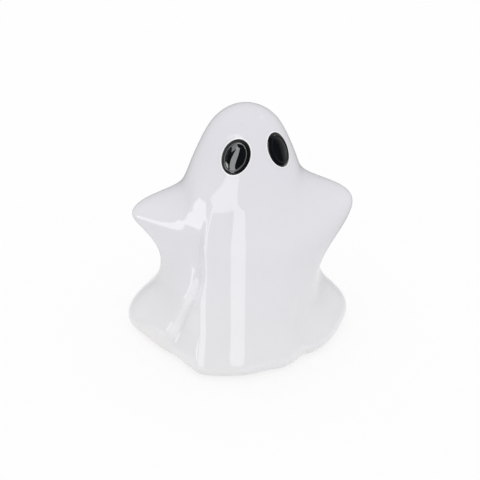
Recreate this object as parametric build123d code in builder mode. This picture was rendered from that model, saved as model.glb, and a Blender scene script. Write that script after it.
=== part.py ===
from build123d import *

import os
from math import cos, exp, pi, radians, sin
from typing import NamedTuple

# A hollow glazed ceramic ghost: a sheet draped over two outstretched arms, with glossy black oval eyes.
# Millimetres, +Z up, the table at Z = 0. The front is towards -Y, and left and right are as seen from there.

# Heights of the sheet's rings, each measured up from the ring below it
pad_thickness = 1.5
hem_roll = 3.0
skirt_rise = 15.0
waist_rise = 18.0
underarm_rise = 16.0
sleeve_rise = 12.0
arm_rise = 8.0
arm_top_rise = 5.5
shoulder_rise = 6.5
neck_rise = 11.0
brow_rise = 14.0
crown_rise = 10.5
cap_rise = 5.7
tip_rise = 1.8

# Radius of the sheet at each ring, away from the arms and the folds
hem_radius = 52.5
skirt_radius = 44.5
waist_radius = 39.5
underarm_radius = 39.5
sleeve_radius = 38.5
arm_radius = 36.0
arm_top_radius = 33.5
shoulder_radius = 31.0
neck_radius = 27.0
brow_radius = 21.5
crown_radius = 15.4
cap_radius = 8.0

# How much fuller the sheet hangs at the front and back than at its drawn-in sides
skirt_fullness = 4.0
waist_fullness = 4.0

# How far each arm stands out past the sheet, and how sharply it narrows round the body
left_underarm_reach = 5.0
left_sleeve_reach = 15.5
left_arm_reach = 17.5
left_arm_top_reach = 5.0
right_underarm_reach = 7.5
right_sleeve_reach = 15.0
right_arm_reach = 19.5
right_arm_top_reach = 18.5
right_shoulder_reach = 6.0
arm_sharpness = 12

# The folds of the skirt at the hem, and how much of them is left at the rings above
left_fold_rise = 7.0
right_fold_rise = 5.0
front_fold_rise = 3.0
left_valley_depth = 4.2
right_flat_depth = 4.4
ripple_rise = 2.0
back_fold_rise = 3.0
skirt_fold_share = 0.7
waist_fold_share = 0.36
underarm_fold_share = 0.12

# Where the sheet's axis meets the base, from the middle of the outline, and how far the crown leans right
axis_right = 0.8
axis_forward = 1.3
lean = 3.0

# Casting: wall, closed floor, the hollow under the base and the hole that drains the mould
wall = 4.5
floor_thickness = 5.0
recess_radius = 30.0
recess_depth = 1.5
drain_radius = 8.0

# Oval eyes, each a glossy cabochon with a flat band round a dome, seated in a shallow socket
eye_width = 13.4
eye_height = 17.6
eye_seat_depth = 1.8
eye_plate = 1.4
eye_rim_round = 0.6
eye_band = 2.0
eye_dome_rise = 1.2
eye_dome_radius = 24.0
eye_clearance = 0.15
eye_above_brow = 1.2
left_eye_angle = -17.0
right_eye_angle = 48.0
left_eye_roll = -18.0
right_eye_roll = 9.0

# Soft foot pads under the base
pad_diameter = 9.0
pad_margin = 2.0
pad_angles = [40.0, 140.0, 220.0, 320.0]

# Each ring is drawn with this many curves
ring_curves = 36


class Ring(NamedTuple):
    height: float
    radius: float
    fullness: float
    left_reach: float
    right_reach: float
    fold_share: float


base = pad_thickness
hem_height = base + hem_roll
skirt_height = hem_height + skirt_rise
waist_height = skirt_height + waist_rise
underarm_height = waist_height + underarm_rise
sleeve_height = underarm_height + sleeve_rise
arm_height = sleeve_height + arm_rise
arm_top_height = arm_height + arm_top_rise
shoulder_height = arm_top_height + shoulder_rise
neck_height = shoulder_height + neck_rise
brow_height = neck_height + brow_rise
crown_height = brow_height + crown_rise
cap_height = crown_height + cap_rise
tip_height = cap_height + tip_rise

# The sheet from the foot to the tip of the crown
rings = [
    Ring(base, hem_radius - hem_roll, 0, 0, 0, 1),
    Ring(hem_height, hem_radius, 0, 0, 0, 1),
    Ring(skirt_height, skirt_radius, skirt_fullness, 0, 0, skirt_fold_share),
    Ring(waist_height, waist_radius, waist_fullness, 0, 0, waist_fold_share),
    Ring(underarm_height, underarm_radius, 0, left_underarm_reach, right_underarm_reach, underarm_fold_share),
    Ring(sleeve_height, sleeve_radius, 0, left_sleeve_reach, right_sleeve_reach, 0),
    Ring(arm_height, arm_radius, 0, left_arm_reach, right_arm_reach, 0),
    Ring(arm_top_height, arm_top_radius, 0, left_arm_top_reach, right_arm_top_reach, 0),
    Ring(shoulder_height, shoulder_radius, 0, 0, right_shoulder_reach, 0),
    Ring(neck_height, neck_radius, 0, 0, 0, 0),
    Ring(brow_height, brow_radius, 0, 0, 0, 0),
    Ring(crown_height, crown_radius, 0, 0, 0, 0),
    Ring(cap_height, cap_radius, 0, 0, 0, 0),
    Ring(tip_height, 0, 0, 0, 0, 0),
]

# Folds round the hem: angle from the front, rise, and half width in degrees
folds = [
    (-96, left_fold_rise, 22),
    (-46, -left_valley_depth, 10),
    (-22, front_fold_rise, 13),
    (25, -right_flat_depth, 24),
    (24, ripple_rise, 7),
    (41, -ripple_rise, 6),
    (97, right_fold_rise, 18),
    (150, back_fold_rise, 16),
    (188, back_fold_rise, 15),
    (226, back_fold_rise, 15),
]


def axis_at(height):
    """The middle of the sheet at a height, which leans a little to the right."""
    return Vector(axis_right + lean * (height - base) / (tip_height - base), -axis_forward, height)


def outwards(angle):
    """The level direction at an angle from the front, turning towards the right."""
    return Vector(sin(angle), -cos(angle), 0)


def sheet_radius(ring, angle):
    """How far the sheet stands from its axis on a ring, with its arms and folds."""
    radius = ring.radius + ring.fullness * cos(angle) ** 2
    radius += ring.left_reach * max(0, -sin(angle)) ** arm_sharpness
    radius += ring.right_reach * max(0, sin(angle)) ** arm_sharpness
    for fold_angle, rise, half_width in folds:
        apart = (angle - radians(fold_angle) + pi) % (2 * pi) - pi
        radius += ring.fold_share * rise * exp(-((apart / radians(half_width)) ** 2))
    return radius


def ring_face(ring):
    """A closed face along the sheet on one ring, as smooth curves that start at the back."""
    step = 2 * pi / ring_curves
    nudge = step / 100

    def point(angle):
        return axis_at(ring.height) + outwards(angle) * sheet_radius(ring, angle)

    def handle(angle):
        return (point(angle + nudge) - point(angle - nudge)) * (step / 3 / (2 * nudge))

    with BuildSketch(Plane.XY.offset(ring.height)) as face:
        with BuildLine():
            for count in range(ring_curves):
                start = -pi + count * step
                end = start + step
                Bezier(point(start), point(start) + handle(start), point(end) - handle(end), point(end))
        make_face()
    return face.sketch


def between(lower, upper, height):
    """The ring at a height between two others."""
    share = (height - lower.height) / (upper.height - lower.height)
    return Ring(*[low + share * (high - low) for low, high in zip(lower, upper)])


def inside(below, ring, above):
    """The cavity's ring, one wall in from the sheet's. Its arms stop short, so the wall round them is thick."""
    climb = Vector(above.radius - below.radius, above.height - below.height).normalized()
    return Ring(
        ring.height + wall * climb.X,
        ring.radius - wall * climb.Y,
        ring.fullness,
        min((below.left_reach + ring.left_reach) / 2, above.left_reach),
        min((below.right_reach + ring.right_reach) / 2, above.right_reach),
        ring.fold_share,
    )


# The cavity follows the sheet from the skirt up, and its floor rises into its wall through a cove
sheet_at_cove = between(rings[1], rings[2], hem_height + floor_thickness)
cove_ring = sheet_at_cove._replace(radius=sheet_at_cove.radius - wall)
floor_ring = cove_ring._replace(height=base + floor_thickness, radius=cove_ring.radius - hem_roll)
cavity_rings = [floor_ring, cove_ring]
for below, ring, above in zip(rings[1:], rings[2:], rings[3:]):
    cavity_rings.append(inside(below, ring, above))

sheet_faces = [ring_face(ring) for ring in rings[:-1]]
cavity_faces = [ring_face(ring) for ring in cavity_rings]

# The sheet as a solid, before it is hollowed, which places the eyes
with BuildPart() as sheet:
    loft(sections=[*sheet_faces, Vertex(*axis_at(tip_height))])


def eye_seat(angle, roll):
    """The flat floor of an eye's socket, square to the sheet, with its X axis level before the roll."""
    height = brow_height + eye_above_brow
    sight = Axis(axis_at(height), outwards(radians(angle)))
    point, normal = sheet.part.find_intersection_points(sight)[-1]
    across = Vector(0, 0, 1).cross(normal).rotate(Axis((0, 0, 0), normal), roll)
    return Plane(origin=point - normal * eye_seat_depth, x_dir=across, z_dir=normal)


left_seat = eye_seat(left_eye_angle, left_eye_roll)
right_seat = eye_seat(right_eye_angle, right_eye_roll)

# Body: one slip-cast shell with a closed floor, a drain hole and two eye sockets
with BuildPart() as ghost_body:
    add(sheet.part)
    loft(sections=[*cavity_faces, Vertex(*axis_at(tip_height - wall))], mode=Mode.SUBTRACT)
    with Locations(Plane(origin=(0, 0, base), z_dir=(0, 0, -1))):
        CounterBoreHole(drain_radius, recess_radius, recess_depth, floor_thickness + wall)
    for seat in (left_seat, right_seat):
        with BuildSketch(seat):
            Ellipse(eye_width / 2 + eye_clearance, eye_height / 2 + eye_clearance)
        extrude(amount=eye_seat_depth + eye_height, mode=Mode.SUBTRACT)
ghost_body.part.label = "ghost_body"


def eye(seat):
    """One eye: an oval plate with a rounded rim, and on it a smaller oval dome inside a flat band."""
    with BuildPart(seat) as dome:
        with BuildSketch(seat):
            Ellipse(eye_width / 2 - eye_band, eye_height / 2 - eye_band)
        extrude(amount=eye_plate + eye_dome_rise)
        with Locations((0, 0, eye_plate + eye_dome_rise - eye_dome_radius)):
            Sphere(eye_dome_radius, mode=Mode.INTERSECT)
    with BuildPart() as cabochon:
        with BuildSketch(seat):
            Ellipse(eye_width / 2, eye_height / 2)
        extrude(amount=eye_plate)
        fillet(cabochon.edges().group_by(Axis(seat.origin, seat.z_dir))[-1], eye_rim_round)
        add(dome.part)
    return cabochon


left_eye = eye(left_seat)
left_eye.part.label = "left_eye"
right_eye = eye(right_seat)
right_eye.part.label = "right_eye"

# Foot pads: soft discs stuck to the flat foot outside the recess
pad_circle = recess_radius + pad_margin + pad_diameter / 2
pads = []
for angle in pad_angles:
    with BuildPart() as pad:
        with BuildSketch():
            with Locations(outwards(radians(angle)) * pad_circle):
                Circle(pad_diameter / 2)
        extrude(amount=pad_thickness)
    pads.append(pad)

os.makedirs("parts", exist_ok=True)
export_step(ghost_body.part, "parts/ghost_body.step")
export_step(left_eye.part, "parts/left_eye.step")
export_step(right_eye.part, "parts/right_eye.step")
for count, pad in enumerate(pads, start=1):
    pad.part.label = f"foot_pad_{count}"
    export_step(pad.part, f"parts/foot_pad_{count}.step")
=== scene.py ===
from functools import lru_cache
from math import atan2, cos, degrees, pi, radians, sin, tan
from typing import NamedTuple

import bmesh
import bpy
import numpy as np
from mathutils import Matrix, Vector, noise
from mathutils.bvhtree import BVHTree


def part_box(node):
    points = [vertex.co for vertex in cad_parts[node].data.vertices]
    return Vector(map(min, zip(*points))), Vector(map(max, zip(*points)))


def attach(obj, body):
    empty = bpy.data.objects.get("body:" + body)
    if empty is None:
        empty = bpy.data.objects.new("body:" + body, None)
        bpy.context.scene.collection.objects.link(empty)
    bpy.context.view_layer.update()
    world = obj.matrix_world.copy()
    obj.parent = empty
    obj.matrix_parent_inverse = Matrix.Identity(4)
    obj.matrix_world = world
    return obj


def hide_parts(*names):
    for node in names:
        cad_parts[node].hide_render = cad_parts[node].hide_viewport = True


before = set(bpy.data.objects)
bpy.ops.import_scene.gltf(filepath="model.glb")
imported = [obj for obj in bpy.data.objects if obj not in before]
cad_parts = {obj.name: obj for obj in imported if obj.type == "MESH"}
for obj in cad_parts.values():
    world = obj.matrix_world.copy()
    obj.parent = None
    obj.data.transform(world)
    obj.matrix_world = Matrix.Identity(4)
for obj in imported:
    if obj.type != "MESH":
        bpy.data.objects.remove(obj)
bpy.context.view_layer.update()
scene = bpy.context.scene


# The sheet: one hollow slip casting of white earthenware, dipped in clear gloss glaze and fired. It hangs
# over two outstretched arms, drawn in under them, and its hem is rolled under to a flat foot that is wiped
# bare of glaze. A hollow under the foot has the hole that drained the mould.
class Ring(NamedTuple):
    height: float
    radius: float
    fullness: float
    left_reach: float
    right_reach: float
    fold_share: float


foot_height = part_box("ghost_body")[0].z
tip_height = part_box("ghost_body")[1].z
sheet_rings = [
    Ring(foot_height, 0.0492, 0, 0, 0, 1),
    Ring(0.0045, 0.052, 0, 0, 0, 1),
    Ring(0.0195, 0.0445, 0.004, 0, 0, 0.7),
    Ring(0.0375, 0.0395, 0.004, 0, 0, 0.36),
    Ring(0.0535, 0.0395, 0, 0.005, 0.0075, 0.12),
    Ring(0.0655, 0.0385, 0, 0.0155, 0.015, 0),
    Ring(0.0735, 0.036, 0, 0.0175, 0.0195, 0),
    Ring(0.079, 0.0335, 0, 0.005, 0.0185, 0),
    Ring(0.0855, 0.031, 0, 0, 0.006, 0),
    Ring(0.0965, 0.027, 0, 0, 0, 0),
    Ring(0.1105, 0.0215, 0, 0, 0, 0),
    Ring(0.121, 0.0154, 0, 0, 0, 0),
    Ring(0.1267, 0.008, 0, 0, 0, 0),
    Ring(tip_height, 0, 0, 0, 0, 0),
]
hem_folds = [
    (-96, 0.007, 22),
    (-46, -0.0042, 10),
    (-22, 0.003, 13),
    (25, -0.0044, 24),
    (24, 0.002, 7),
    (41, -0.002, 6),
    (97, 0.005, 18),
    (150, 0.003, 16),
    (188, 0.003, 15),
    (226, 0.003, 15),
]


class Drape(NamedTuple):
    height: float
    share: float
    pleat_right: float
    pleat_left: float
    crest: float
    crest_width: float
    crease_right: float
    crease_left: float
    arm_end: float
    pleat_lift: float
    pleat_facing: float
    panel_facing: float
    crease_lift: float
    crease_facing: float


drapes = [
    Drape(0.0015, 0.6, -1.0, -10.0, -24.0, 4.0, -52.0, -58.0, -85, 0, -6, -6, -0.0006, -50),
    Drape(0.0080, 1.0, -1.0, -10.0, -24.0, 4.0, -50.5, -56.5, -85, 0, -8, -6, -0.0012, -46),
    Drape(0.0145, 1.0, -1.0, -10.5, -25.0, 4.0, -48.5, -55.0, -84, 0, -17, -4, -0.0008, -16),
    Drape(0.0200, 1.0, -1.0, -10.5, -25.5, 4.0, -47.0, -53.5, -82, 0, -18, -4, 0.0002, -15),
    Drape(0.0375, 1.0, -1.2, -11.0, -28.5, 3.2, -39.5, -46.0, -80, 0, -18, -7, -0.0008, -15),
    Drape(0.0455, 1.0, -1.3, -11.5, -30.0, 1.2, -37.0, -43.5, -80, 0, -18, -8, -0.0027, -17),
    Drape(0.0535, 1.0, -1.5, -12.0, -31.0, 0.3, -38.0, -47.0, -82, -0.0003, -19, -8, -0.0023, -38),
    Drape(0.0655, 1.0, -2.0, -12.5, -32.5, 0.2, -40.0, -56.0, -86, -0.0006, -21, -8, -0.0026, -40),
    Drape(0.0735, 1.0, -2.2, -13.0, -33.0, 0.2, -40.0, -58.0, -86, -0.0003, -21, -7, -0.0006, -40),
    Drape(0.0790, 1.0, -2.5, -13.0, -33.0, 0.2, -40.0, -56.0, -86, 0, -21, -5, 0.0003, -40),
    Drape(0.0840, 0.9, -2.5, -13.0, -33.0, 0.2, -40.0, -54.0, -80, 0, -21, -5, 0, -40),
    Drape(0.0900, 0.0, -2.5, -13.0, -33.0, 0.2, -40.0, -52.0, -75, 0, -21, -6, 0, -40),
]
crest_facing = -19
drape_end = 12
drape_softness = 0.9
shoulder_heights = [0.070, 0.074, 0.079, 0.084, 0.088, 0.092, 0.096, 0.102]
shoulder_rises = [0, 0, 0.0010, 0.0018, 0.0021, 0.0021, 0.0013, 0]
shoulder_middle = -48
shoulder_half_width = 16
front_arm_sharpness = 34
arm_sharpness = 12
axis_right = 0.0008
axis_forward = 0.0013
crown_lean = 0.003
hand_wobble = 0.00016
wobble_size = 0.016
wall = 0.0045
floor_top = 0.0065
floor_cove = 0.003
foot_width = 0.001
recess_radius = 0.030
recess_top = 0.003
drain_radius = 0.008
edge_round = 0.0004
sheet_columns = 176
sheet_rows = 80
cavity_rows = 12
crown_opening = 0.955
front_turn = -23
front_spread = 36
front_extra = 1.9


def smooth_curve(stations, values, places):
    """A curve without kinks through the values at the stations, read at other places along it."""
    gaps = np.diff(stations)
    slopes = np.diff(values, axis=0) / gaps[:, None]
    system = np.diag(2 * (gaps[:-1] + gaps[1:])) + np.diag(gaps[1:-1], 1) + np.diag(gaps[1:-1], -1)
    bends = np.zeros_like(values)
    bends[1:-1] = np.linalg.solve(system, 6 * np.diff(slopes, axis=0))
    found = []
    for place in places:
        span = min(max(np.searchsorted(stations, place) - 1, 0), len(gaps) - 1)
        after = (place - stations[span]) / gaps[span]
        before = 1 - after
        straight = before * values[span] + after * values[span + 1]
        bend = (before**3 - before) * bends[span] + (after**3 - after) * bends[span + 1]
        found.append(straight + bend * gaps[span] ** 2 / 6)
    return found


def rings_along(rings, shares):
    """The rings at shares of the way up a profile that closes at its tip, where it goes level."""
    past_the_tip = [ring._replace(radius=-ring.radius) for ring in rings[-2:-4:-1]]
    values = np.array(rings + past_the_tip, float)
    steps = np.hypot(np.diff(values[:, 0]), np.diff(values[:, 1]))
    stations = np.concatenate([[0], np.cumsum(steps)])
    length = stations[len(rings) - 1]
    return [Ring(*row) for row in smooth_curve(stations, values, np.asarray(shares) * length)]


def axis_at(height):
    """The middle of the sheet at a height, which leans a little to the right."""
    rise = (height - foot_height) / (tip_height - foot_height)
    return Vector((axis_right + crown_lean * rise, -axis_forward, height))


turns_round = np.linspace(-180, 180, 3601)


def plain_radius(ring):
    """How far the sheet stands from its axis at every turn round a ring, with its arms and hem."""
    bearings = np.radians(turns_round)
    left_sharpness = np.where(abs(turns_round) < 90, front_arm_sharpness, arm_sharpness)
    radius = ring.radius + ring.fullness * np.cos(bearings) ** 2
    radius = radius + ring.left_reach * np.maximum(0, -np.sin(bearings)) ** left_sharpness
    radius += ring.right_reach * np.maximum(0, np.sin(bearings)) ** arm_sharpness
    for fold_turn, rise, half_width in hem_folds:
        apart = (turns_round - fold_turn + 180) % 360 - 180
        radius += ring.fold_share * rise * np.exp(-((apart / half_width) ** 2))
    height = min(max(ring.height, shoulder_heights[0]), shoulder_heights[-1])
    shoulder = smooth_curve(shoulder_heights, np.array(shoulder_rises)[:, None], [height])[0]
    return radius + shoulder * np.exp(-(((turns_round - shoulder_middle) / shoulder_half_width) ** 2))


def flat_to(start, facing, turn):
    """Where a flat from a point meets a turn from the front. The point is right and forward of the axis."""
    right, forward = -cos(radians(facing)), sin(radians(facing))
    slope = tan(radians(turn))
    length = (slope * start.y - start.x) / (right - slope * forward)
    return start + Vector((right, forward)) * length


@lru_cache(maxsize=None)
def draped_radius(ring):
    """The sheet's distance from its axis at every turn, with flats between its folds."""
    plain = plain_radius(ring)
    heights, *_ = zip(*drapes)
    height = min(max(ring.height, heights[0]), heights[-1])
    drape = Drape(*smooth_curve(heights, np.array(drapes), [height])[0])

    def on_plain(turn, lift=0.0):
        bearing = radians(turn)
        return Vector((sin(bearing), cos(bearing))) * (np.interp(turn, turns_round, plain) + lift)

    pleat_right = on_plain(drape.pleat_right, drape.pleat_lift)
    pleat_left = flat_to(pleat_right, drape.pleat_facing, drape.pleat_left)
    crest_right = flat_to(pleat_left, drape.panel_facing, drape.crest)
    crest_left = flat_to(crest_right, crest_facing, drape.crest - drape.crest_width)
    crease_right = on_plain(drape.crease_right, drape.crease_lift)
    crease_left = flat_to(crease_right, drape.crease_facing, drape.crease_left)
    corners = [on_plain(drape.arm_end), crease_left, crease_right, crest_left, crest_right]
    corners += [pleat_left, pleat_right, on_plain(drape_end)]
    folds = np.zeros_like(plain)
    for start, end in zip(corners, corners[1:]):
        first, last = degrees(atan2(*start)), degrees(atan2(*end))
        between = (turns_round >= first) & (turns_round <= last)
        bearings = np.radians(turns_round[between])
        run = end - start
        flat = start.cross(run) / (np.sin(bearings) * run.y - np.cos(bearings) * run.x)
        folds[between] = flat - plain[between]
    reach = np.arange(-4 * drape_softness, 4 * drape_softness, turns_round[1] - turns_round[0])
    weights = np.exp(-((reach / drape_softness) ** 2))
    return plain + drape.share * np.convolve(folds, weights / weights.sum(), "same")


def on_sheet(ring, bearing):
    """The sheet's point on a ring at a bearing from the front, turning towards the right."""
    outwards = Vector((sin(bearing), -cos(bearing), 0))
    turn = degrees((bearing + pi) % (2 * pi) - pi)
    point = axis_at(ring.height) + outwards * np.interp(turn, turns_round, draped_radius(ring))
    return point + outwards * hand_wobble * noise.noise(point / wobble_size)


def on_circle(height, radius, bearing):
    """A point on a level circle round the middle of the foot."""
    return Vector((radius * sin(bearing), -radius * cos(bearing), height))


def evenly(columns):
    """Bearings all round at even steps."""
    return [2 * pi * count / columns for count in range(columns)]


def closer_in_front(columns):
    """Bearings all round, in closer steps over the folds at the front."""
    turns = np.radians(turns_round)
    density = 1 + front_extra * np.exp(-(((turns_round - front_turn) / front_spread) ** 2))
    count = np.cumsum(density) / density.sum() * columns
    return [np.interp(column, count, turns) for column in range(1, columns + 1)]


def start_loop(mesh, steps, place):
    """A closed loop of edges. Each point is placed by a bearing, which it keeps as the loop grows."""
    bearings = mesh.verts.layers.float.new("bearing")
    points = bmesh.ops.create_circle(mesh, segments=len(steps), radius=1)["verts"]
    for point, bearing in zip(points, steps):
        point[bearings] = bearing
        point.co = place(point[bearings])
    return list(mesh.edges)


def grow(mesh, loop, place, material=0):
    """Extrudes a loop of edges to where a function places each of its points by their bearing."""
    bearings = mesh.verts.layers.float["bearing"]
    grown = bmesh.ops.extrude_edge_only(mesh, edges=loop)["geom"]
    for piece in grown:
        if isinstance(piece, bmesh.types.BMVert):
            piece.co = place(piece[bearings])
        elif isinstance(piece, bmesh.types.BMFace):
            piece.material_index = material
    return [piece for piece in grown if isinstance(piece, bmesh.types.BMEdge)]


def close_loop(mesh, loop, lift, material=0):
    """Fills a loop with a grid of faces, and moves the points inside it by a function."""
    bearings = mesh.verts.layers.float["bearing"]
    rim = {point for edge in loop for point in edge.verts}
    order = sorted(rim, key=lambda point: point[bearings])
    quarter = len(order) // 4
    opposite = {*order[: quarter + 1]}, {*order[2 * quarter : 3 * quarter + 1]}
    sides = [edge for edge in loop if any(side.issuperset(edge.verts) for side in opposite)]
    filled = bmesh.ops.grid_fill(mesh, edges=sides)["faces"]
    for face in filled:
        face.material_index = material
    for point in {point for face in filled for point in face.verts} - rim:
        point.co = lift(point.co)


def crown_lift(rings, opening):
    """A function that lifts a point inside a crown's opening to the crown's profile."""
    profile = rings_along(rings, np.linspace(1, opening, 40))
    radii = [ring.radius for ring in profile]
    heights = [ring.height for ring in profile]

    def lift(point):
        away = (point - axis_at(point.z)).to_2d().length
        return Vector((point.x, point.y, np.interp(away, radii, heights)))

    return lift


def inside(below, ring, above):
    """The cavity's ring, one wall in from the sheet's, with shorter arms."""
    climb = Vector((above.radius - below.radius, above.height - below.height)).normalized()
    return ring._replace(
        height=ring.height + wall * climb.x,
        radius=ring.radius - wall * climb.y,
        left_reach=min((below.left_reach + ring.left_reach) / 2, above.left_reach),
        right_reach=min((below.right_reach + ring.right_reach) / 2, above.right_reach),
    )


def add_piece(name, mesh, materials, rounds=1):
    """Makes a finished bmesh an object on the body, smooth, with its materials."""
    bmesh.ops.recalc_face_normals(mesh, faces=mesh.faces)
    data = bpy.data.meshes.new(name)
    mesh.to_mesh(data)
    mesh.free()
    data.attributes.remove(data.attributes["bearing"])
    data.shade_smooth()
    for material in materials:
        data.materials.append(material)
    piece = bpy.data.objects.new(name, data)
    scene.collection.objects.link(piece)
    if rounds:
        smoothing = piece.modifiers.new("smoothing", "SUBSURF")
        smoothing.levels = rounds
        smoothing.render_levels = rounds
    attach(piece, "root")
    return piece


def new_material(name):
    """A node material and its shader."""
    material = bpy.data.materials.new(name)
    material.use_nodes = True
    tree = material.node_tree
    return material, tree.nodes, tree.links, tree.nodes["Principled BSDF"]


def mottle(nodes, links, place, scale, detail=2.0):
    """Smooth noise in the piece's own space."""
    texture = nodes.new("ShaderNodeTexNoise")
    texture.inputs["Scale"].default_value = scale
    texture.inputs["Detail"].default_value = detail
    links.new(place.outputs["Object"], texture.inputs["Vector"])
    return texture


def combine(nodes, links, operation, *values):
    """A Math node over sockets and numbers."""
    step = nodes.new("ShaderNodeMath")
    step.operation = operation
    for socket, value in zip(step.inputs, values):
        if isinstance(value, (int, float)):
            socket.default_value = value
        else:
            links.new(value, socket)
    return step.outputs["Value"]


def roughen(nodes, links, shader, height, strength, distance):
    """Bumps a shader's surface by a height."""
    bump = nodes.new("ShaderNodeBump")
    bump.inputs["Strength"].default_value = strength
    bump.inputs["Distance"].default_value = distance
    links.new(height, bump.inputs["Height"])
    links.new(bump.outputs["Normal"], shader.inputs["Normal"])


def ramp_of(nodes, links, source, stops):
    """Colours along a value."""
    ramp = nodes.new("ShaderNodeValToRGB")
    elements = ramp.color_ramp.elements
    while len(elements) < len(stops):
        elements.new(0.5)
    for element, (place, colour) in zip(elements, stops):
        element.position = place
        element.color = (*colour, 1)
    links.new(source, ramp.inputs["Fac"])
    return ramp


# White glaze: clear and glossy over a white body. Its colour is painted shade and light by height: darker and
# faintly blue-grey on the head, lighter down the skirt, and creamier along the hem, with random mottling.
# Its skin has shallow waves and a few pinholes.
white_glaze, nodes, links, shader = new_material("white_glaze")
place = nodes.new("ShaderNodeTexCoord")
parts = nodes.new("ShaderNodeSeparateXYZ")
links.new(place.outputs["Object"], parts.inputs["Vector"])
# Painted shade and light: the glaze's colour follows height, darker on the head and lighter down the skirt
height_shade = nodes.new("ShaderNodeMapRange")
height_shade.inputs["From Max"].default_value = 0.13
links.new(parts.outputs["Z"], height_shade.inputs["Value"])
cloud = mottle(nodes, links, place, 28)
spread = combine(nodes, links, "MULTIPLY_ADD", cloud.outputs["Fac"], 0.3, height_shade.outputs["Result"])
shaded_glaze_stops = [
    (0.12, (0.835, 0.82, 0.815)),
    (0.24, (0.825, 0.82, 0.845)),
    (0.70, (0.81, 0.802, 0.84)),
    (1.0, (0.785, 0.775, 0.82)),
]
shaded_tint_ramp = ramp_of(nodes, links, spread, shaded_glaze_stops)
pinholes = mottle(nodes, links, place, 520, 1)
pinhole_stops = [(0.16, (0.90, 0.88, 0.86)), (0.20, (1, 1, 1))]
pinhole_ramp = ramp_of(nodes, links, pinholes.outputs["Fac"], pinhole_stops)
tint = nodes.new("ShaderNodeMix")
tint.data_type = "RGBA"
tint.blend_type = "MULTIPLY"
tint.inputs["Factor"].default_value = 1
links.new(shaded_tint_ramp.outputs["Color"], tint.inputs["A"])
links.new(pinhole_ramp.outputs["Color"], tint.inputs["B"])
links.new(tint.outputs["Result"], shader.inputs["Base Color"])
sheen = mottle(nodes, links, place, 60, 3)
sheen_range = nodes.new("ShaderNodeMapRange")
sheen_range.inputs["To Min"].default_value = 0.04
sheen_range.inputs["To Max"].default_value = 0.09
links.new(sheen.outputs["Fac"], sheen_range.inputs["Value"])
links.new(sheen_range.outputs["Result"], shader.inputs["Roughness"])
waves = mottle(nodes, links, place, 260, 1)
skin = combine(nodes, links, "MULTIPLY_ADD", pinhole_ramp.outputs["Color"], 0.6, waves.outputs["Fac"])
roughen(nodes, links, shader, skin, 0.05, 0.0002)
shader.inputs["IOR"].default_value = 1.5

# Bare body: matt white earthenware with a fine grain, on the foot and inside
bare_body, nodes, links, shader = new_material("bare_body")
place = nodes.new("ShaderNodeTexCoord")
grain = mottle(nodes, links, place, 900, 4)
grain_stops = [(0.3, (0.70, 0.68, 0.64)), (0.7, (0.80, 0.78, 0.74))]
grain_ramp = ramp_of(nodes, links, grain.outputs["Fac"], grain_stops)
links.new(grain_ramp.outputs["Color"], shader.inputs["Base Color"])
shader.inputs["Roughness"].default_value = 0.85
roughen(nodes, links, shader, grain.outputs["Fac"], 0.4, 0.0003)

glaze_face, bare_face = 0, 1
mesh = bmesh.new()
sheet_profile = rings_along(sheet_rings, np.linspace(0, crown_opening, sheet_rows))
columns = closer_in_front(sheet_columns)
hem_loop = start_loop(mesh, columns, lambda bearing: on_sheet(sheet_profile[0], bearing))
loop = hem_loop
for ring in sheet_profile[1:]:
    loop = grow(mesh, loop, lambda bearing: on_sheet(ring, bearing), glaze_face)
close_loop(mesh, loop, crown_lift(sheet_rings, crown_opening - 0.01), glaze_face)

foot_ring = sheet_profile[0]._replace(radius=sheet_profile[0].radius - foot_width)
loop = grow(mesh, hem_loop, lambda bearing: on_sheet(foot_ring, bearing), bare_face)
foot_steps = [
    (foot_height, recess_radius + edge_round),
    (foot_height + edge_round, recess_radius),
    (recess_top - edge_round, recess_radius),
    (recess_top, recess_radius - edge_round),
    (recess_top, drain_radius + edge_round),
    (recess_top + edge_round, drain_radius),
    (floor_top - edge_round, drain_radius),
    (floor_top, drain_radius + edge_round),
]
for height, radius in foot_steps:
    loop = grow(mesh, loop, lambda bearing: on_circle(height, radius, bearing), bare_face)

hem, skirt = sheet_rings[1:3]
cove_height = floor_top + floor_cove
cove_share = (cove_height - hem.height) / (skirt.height - hem.height)
cove_ring = Ring(*[low + cove_share * (high - low) for low, high in zip(hem, skirt)])
cove_ring = cove_ring._replace(radius=cove_ring.radius - wall)
cavity_rings = [cove_ring._replace(height=floor_top, radius=cove_ring.radius - floor_cove), cove_ring]
cavity_rings += [inside(*steps) for steps in zip(sheet_rings[1:], sheet_rings[2:], sheet_rings[3:])]
cavity_rings.append(Ring(tip_height - wall, 0, 0, 0, 0, 0))
for ring in rings_along(cavity_rings, np.linspace(0, crown_opening, cavity_rows)):
    loop = grow(mesh, loop, lambda bearing: on_sheet(ring, bearing), bare_face)
close_loop(mesh, loop, crown_lift(cavity_rings, crown_opening - 0.01), bare_face)

sheet = add_piece("ghost_sheet", mesh, [white_glaze, bare_body])
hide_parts("ghost_body")


# The eyes: two small ovals of clay, each a dome inside a bevelled band, dipped in black glaze that gathers in
# the groove between them. Each one is glued into a shallow flat-bottomed socket that is cut in the head, and
# the sheet's own glaze stands in a thick white lip round it.
eye_columns = 96
eye_clearance = 0.00015
socket_depth = 0.0018
eye_steps = [
    (0.0, -0.0003),
    (0.00005, 0.0),
    (0.0004, 0.00029),
    (0.0008, 0.00058),
    (0.0012, 0.00085),
    (0.0014, 0.00095),
    (0.0015, 0.00098),
    (0.0016, 0.00097),
    (0.0018, 0.00092),
    (0.0019, 0.00081),
    (0.0020, 0.00075),
    (0.0021, 0.00075),
]
groove_inset = 0.0021
groove_height = 0.00075
dome_rise = 0.00080
dome_power = 2.4
ridge_slant = 0.35
dome_steps = np.linspace(0.95, 0.25, 15)
head_samples = np.linspace(-1, 1, 13)
above_head = 0.02
lip_width = 0.08
lip_fade = 0.02
lip_depth = 0.01
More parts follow.
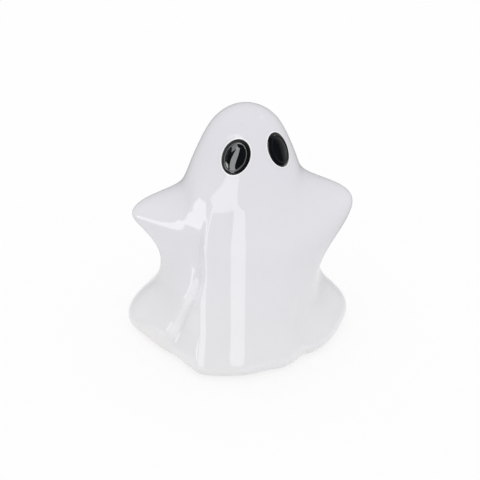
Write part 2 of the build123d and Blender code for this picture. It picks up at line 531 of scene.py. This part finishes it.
lip_white = (0.98, 0.98, 0.98, 1)


def seat_of(node):
    """Where an eye sits, with X across it, Y up it and Z out, and half its width and height."""
    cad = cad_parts[node].data
    low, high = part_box(node)
    outwards = (low + high) / 2 - axis_at((low.z + high.z) / 2)
    hidden = [face for face in cad.polygons if face.normal.dot(outwards) < 0]
    floor = max(hidden, key=lambda face: face.area)
    faces = [face for face in cad.polygons if face.normal.dot(floor.normal) > 0.9999]
    area = sum(face.area for face in faces)
    middle = sum((face.center * face.area for face in faces), Vector()) / area
    spread = np.zeros((3, 3))
    for face in faces:
        corners = np.array([cad.vertices[corner].co - middle for corner in face.vertices])
        spread += face.area * (corners.T @ corners + np.outer(corners.sum(0), corners.sum(0)))
    out = -floor.normal
    up = Vector(np.linalg.eigh(spread)[1][:, 2])
    up *= 1 if up.z > 0 else -1
    across = up.cross(out)
    corners = [cad.vertices[corner].co - middle for face in faces for corner in face.vertices]
    seat = Matrix((across, up, out)).transposed().to_4x4()
    seat.translation = middle
    return seat, max(corner.dot(across) for corner in corners), max(corner.dot(up) for corner in corners)


def oval(seat, half_width, half_height, rise):
    """A function that places a point of an oval on a seat by its bearing, at a rise that a function gives."""

    def place(bearing):
        point = Vector((half_width * sin(bearing), half_height * cos(bearing), 0))
        return seat @ Vector((point.x, point.y, rise(point)))

    return place


def cut_sockets(piece, nodes):
    """Cuts an oval socket with a flat floor for each eye."""
    cutters = []
    for node in nodes:
        seat, half_width, half_height = seat_of(node)
        width, height = half_width + eye_clearance, half_height + eye_clearance
        mesh = bmesh.new()
        loop = start_loop(mesh, evenly(eye_columns), oval(seat, width, height, lambda point: 0))
        bmesh.ops.contextual_create(mesh, geom=loop)
        loop = grow(mesh, loop, oval(seat, width, height, lambda point: 3 * socket_depth))
        bmesh.ops.contextual_create(mesh, geom=loop)
        cutter = add_piece(f"{node}_cutter", mesh, [bare_body], 0)
        socket = piece.modifiers.new(node, "BOOLEAN")
        socket.object = cutter
        socket.material_mode = "TRANSFER"
        cutters.append(cutter)
    cut = bpy.data.meshes.new_from_object(piece.evaluated_get(bpy.context.evaluated_depsgraph_get()))
    piece.modifiers.clear()
    piece.data = cut
    cut.set_sharp_from_angle(angle=radians(50))
    for cutter in cutters:
        bpy.data.objects.remove(cutter)


def build_eye(name, node):
    """One eye on the seat that the frame gives, bent to the head round it."""
    seat, half_width, half_height = seat_of(node)

    def bends(x, y):
        return np.array([1, x, y, x * x, x * y, y * y, x**3, x * x * y, x * y * y, y**3])

    spots = [(half_width * x, half_height * y) for x in head_samples for y in head_samples]
    inwards = -seat.col[2].to_3d()
    hits = [head_shape.ray_cast(seat @ Vector((*spot, above_head)), inwards)[0] for spot in spots]
    rises = np.array([(seat.inverted() @ hit).z for hit in hits])
    head_curve = np.linalg.lstsq(np.array([bends(*spot) for spot in spots]), rises, rcond=None)[0]

    def head(point):
        return float(bends(point.x, point.y) @ head_curve)

    def dome(point):
        width, height = half_width - groove_inset, half_height - groove_inset
        share = Vector((point.x / width, point.y / height)).length
        slant = ridge_slant * max(0, 1 - share**2)
        share = Vector(((point.x - slant * point.y) / width, point.y / height)).length
        return head(point) + groove_height + dome_rise * (1 - min(share, 1) ** dome_power)

    def lift(point):
        local = seat.inverted() @ point
        return seat @ Vector((local.x, local.y, dome(local)))

    mesh = bmesh.new()
    loop = start_loop(mesh, evenly(eye_columns), oval(seat, half_width, half_height, lambda point: 0))
    bmesh.ops.contextual_create(mesh, geom=loop)
    for inset, rise in eye_steps:
        width, height = half_width - inset, half_height - inset
        loop = grow(mesh, loop, oval(seat, width, height, lambda point: head(point) + rise))
    for share in dome_steps:
        width, height = share * (half_width - groove_inset), share * (half_height - groove_inset)
        loop = grow(mesh, loop, oval(seat, width, height, dome))
    close_loop(mesh, loop, lift)
    eye = add_piece(name, mesh, [black_glaze])
    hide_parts(node)


def whiten_round(node):
    """Whitens the sheet's glaze along the edge of an eye's socket, where it gathers in a thick lip."""
    nodes, links = white_glaze.node_tree.nodes, white_glaze.node_tree.links
    shader = nodes["Principled BSDF"]
    seat, half_width, half_height = seat_of(node)
    place = nodes.new("ShaderNodeTexCoord")
    seated = nodes.new("ShaderNodeMapping")
    seated.vector_type = "TEXTURE"
    seated.inputs["Location"].default_value = seat.translation
    seated.inputs["Rotation"].default_value = seat.to_euler()
    seated.inputs["Scale"].default_value = (half_width, half_height, lip_depth)
    links.new(place.outputs["Object"], seated.inputs["Vector"])
    away = nodes.new("ShaderNodeVectorMath")
    away.operation = "LENGTH"
    links.new(seated.outputs["Vector"], away.inputs[0])
    thickness = nodes.new("ShaderNodeMapRange")
    thickness.interpolation_type = "SMOOTHSTEP"
    thickness.inputs["From Min"].default_value = 1 + lip_width + lip_fade
    thickness.inputs["From Max"].default_value = 1 + lip_width
    links.new(away.outputs["Value"], thickness.inputs["Value"])
    lip = nodes.new("ShaderNodeMix")
    lip.data_type = "RGBA"
    links.new(thickness.outputs["Result"], lip.inputs["Factor"])
    links.new(shader.inputs["Base Color"].links[0].from_socket, lip.inputs["A"])
    lip.inputs["B"].default_value = lip_white
    links.new(lip.outputs["Result"], shader.inputs["Base Color"])


black_glaze, nodes, links, shader = new_material("black_glaze")
place = nodes.new("ShaderNodeTexCoord")
depth = mottle(nodes, links, place, 400, 3)
depth_stops = [(0.3, (0.0012, 0.0016, 0.003)), (0.75, (0.003, 0.0036, 0.006))]
depth_ramp = ramp_of(nodes, links, depth.outputs["Fac"], depth_stops)
links.new(depth_ramp.outputs["Color"], shader.inputs["Base Color"])
sheen = mottle(nodes, links, place, 180, 2)
sheen_range = nodes.new("ShaderNodeMapRange")
sheen_range.inputs["To Min"].default_value = 0.03
sheen_range.inputs["To Max"].default_value = 0.08
links.new(sheen.outputs["Fac"], sheen_range.inputs["Value"])
links.new(sheen_range.outputs["Result"], shader.inputs["Roughness"])
waves = mottle(nodes, links, place, 500, 1)
roughen(nodes, links, shader, waves.outputs["Fac"], 0.04, 0.0001)
shader.inputs["IOR"].default_value = 2.1

head_shape = BVHTree.FromObject(sheet, bpy.context.evaluated_depsgraph_get())
cut_sockets(sheet, ["left_eye", "right_eye"])
build_eye("left_eye_oval", "left_eye")
build_eye("right_eye_oval", "right_eye")
whiten_round("left_eye")
whiten_round("right_eye")


# The foot pads: discs of pressed grey-white felt, stuck to the bare foot so that the clay doesn't scratch a
# table. They are punched from a larger piece, so their edges are square and a little furred.
pad_edge = 0.00025
pad_columns = 48


def build_pad(name, node):
    """One felt disc in the space of its solid."""
    low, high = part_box(node)
    middle = (low + high) / 2
    radius = (high.x - low.x) / 2
    mesh = bmesh.new()

    def ring_of(height, inset):
        return lambda bearing: middle + on_circle(height - middle.z, radius - inset, bearing)

    loop = start_loop(mesh, evenly(pad_columns), ring_of(low.z, pad_edge))
    bmesh.ops.contextual_create(mesh, geom=loop)
    for height, inset in [(low.z + pad_edge, 0), (high.z - pad_edge, 0), (high.z, pad_edge)]:
        loop = grow(mesh, loop, ring_of(height, inset))
    bmesh.ops.contextual_create(mesh, geom=loop)
    pad = add_piece(name, mesh, [pad_felt], 0)
    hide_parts(node)


pad_felt, nodes, links, shader = new_material("pad_felt")
place = nodes.new("ShaderNodeTexCoord")
fibre = mottle(nodes, links, place, 2500, 5)
fibre_stops = [(0.3, (0.42, 0.41, 0.39)), (0.7, (0.62, 0.61, 0.58))]
fibre_ramp = ramp_of(nodes, links, fibre.outputs["Fac"], fibre_stops)
links.new(fibre_ramp.outputs["Color"], shader.inputs["Base Color"])
shader.inputs["Roughness"].default_value = 0.95
roughen(nodes, links, shader, fibre.outputs["Fac"], 0.7, 0.0003)
for number in (1, 2, 3, 4):
    build_pad(f"felt_pad_{number}", f"foot_pad_{number}")


# The stage: a white table in an even white light. The glaze mirrors a dim room, the table near the figure and
# four lamps: a tall strip in front, a small one at the left, a spot behind the crown and a short bar above.
floor_half = 4.0
floor_white = (0.95, 0.95, 0.95, 1)
floor_glow = 0.8
mirrored_near = 0.05
mirrored_far = 0.12
floor_mesh = bmesh.new()
bmesh.ops.create_grid(floor_mesh, x_segments=1, y_segments=1, size=floor_half)
floor_data = bpy.data.meshes.new("table")
floor_mesh.to_mesh(floor_data)
floor_mesh.free()
table = bpy.data.objects.new("table", floor_data)
scene.collection.objects.link(table)
table_white, nodes, links, shader = new_material("table_white")
shader.inputs["Base Color"].default_value = floor_white
shader.inputs["Roughness"].default_value = 0.9
shader.inputs["Specular IOR Level"].default_value = 0
glow = nodes.new("ShaderNodeEmission")
clear = nodes.new("ShaderNodeBsdfTransparent")
rays = nodes.new("ShaderNodeLightPath")
place = nodes.new("ShaderNodeTexCoord")
seen = combine(nodes, links, "ADD", rays.outputs["Is Camera Ray"], rays.outputs["Is Glossy Ray"])
seen = combine(nodes, links, "ADD", seen, rays.outputs["Is Transmission Ray"])
seen = combine(nodes, links, "MULTIPLY", seen, floor_glow)
away = nodes.new("ShaderNodeVectorMath")
away.operation = "LENGTH"
links.new(place.outputs["Object"], away.inputs[0])
fade = nodes.new("ShaderNodeMapRange")
fade.interpolation_type = "SMOOTHSTEP"
fade.inputs["From Min"].default_value = mirrored_near
fade.inputs["From Max"].default_value = mirrored_far
links.new(away.outputs["Value"], fade.inputs["Value"])
far = combine(nodes, links, "MULTIPLY", fade.outputs["Result"], rays.outputs["Is Glossy Ray"])
whitened = nodes.new("ShaderNodeMixShader")
links.new(seen, whitened.inputs["Fac"])
links.new(shader.outputs["BSDF"], whitened.inputs[1])
links.new(glow.outputs["Emission"], whitened.inputs[2])
ended = nodes.new("ShaderNodeMixShader")
links.new(far, ended.inputs["Fac"])
links.new(whitened.outputs["Shader"], ended.inputs[1])
links.new(clear.outputs["BSDF"], ended.inputs[2])
links.new(ended.outputs["Shader"], nodes["Material Output"].inputs["Surface"])
floor_data.materials.append(table_white)

world = bpy.data.worlds.new("studio")
scene.world = world
world.use_nodes = True
nodes = world.node_tree.nodes
links = world.node_tree.links
background = nodes["Background"]
rays = nodes.new("ShaderNodeLightPath")
place = nodes.new("ShaderNodeTexCoord")
parts = nodes.new("ShaderNodeSeparateXYZ")
links.new(place.outputs["Generated"], parts.inputs["Vector"])
room = nodes.new("ShaderNodeMapRange")
room.inputs["From Min"].default_value = -0.3
room.inputs["From Max"].default_value = 0.5
room.inputs["To Min"].default_value = 0.03
room.inputs["To Max"].default_value = 0.25
links.new(parts.outputs["Y"], room.inputs["Value"])
strength = nodes.new("ShaderNodeMix")
strength.inputs["A"].default_value = 1.0
links.new(rays.outputs["Is Glossy Ray"], strength.inputs["Factor"])
links.new(room.outputs["Result"], strength.inputs["B"])
links.new(strength.outputs["Result"], background.inputs["Strength"])
background.inputs["Color"].default_value = (1, 1, 1, 1)


def lamp(name, middle, target, width, height, radiance, roll=0.0):
    """A flat lamp of an even brightness that faces a target and shows in the glaze."""
    light = bpy.data.lights.new(name, "AREA")
    light.shape = "RECTANGLE"
    light.size = width
    light.size_y = height
    light.energy = radiance * pi * width * height
    holder = bpy.data.objects.new(name, light)
    scene.collection.objects.link(holder)
    facing = (Vector(middle) - Vector(target)).to_track_quat("Z", "Y").to_matrix().to_4x4()
    holder.matrix_world = Matrix.Translation(middle) @ facing @ Matrix.Rotation(roll, 4, "Z")
    holder.visible_camera = False
    holder.visible_diffuse = False


def round_the_figure(bearing, distance, height):
    """A place at a bearing from the front, at a distance and a height."""
    return Vector((distance * sin(radians(bearing)), -distance * cos(radians(bearing)), height))


lamp("front_strip", round_the_figure(-30, 0.9, 0.16), (0, 0, 0.16), 0.46, 2.12, 2.1)
lamp("side_strip", round_the_figure(-70, 0.22, 0.05), (0, 0, 0.05), 0.12, 0.09, 2.75)
lamp("crown_spot", round_the_figure(122, 0.68, 0.86), (0, 0, 0.125), 0.10, 0.10, 2.75)
lamp("top_bar", (-0.60, -0.43, 0.80), (0, 0, 0.115), 0.45, 0.10, 1.4, radians(40))

# The camera: a long lens in front, a little to the left and looking down on the figure
view_middle = Vector((axis_right, -axis_forward, 0.0517))
view_distance = 0.720
view_bearing = -4.0
view_elevation = 32.7
half_frame = 240 / 1404
lens = bpy.data.cameras.new("camera")
lens.sensor_fit = "HORIZONTAL"
lens.angle = 2 * atan2(half_frame, 1)
camera = bpy.data.objects.new("camera", lens)
scene.collection.objects.link(camera)
level = cos(radians(view_elevation))
towards = round_the_figure(view_bearing, level, sin(radians(view_elevation)))
camera.location = view_middle + towards * view_distance
camera.rotation_euler = towards.to_track_quat("Z", "Y").to_euler()
scene.camera = camera

scene.view_settings.view_transform = "Standard"
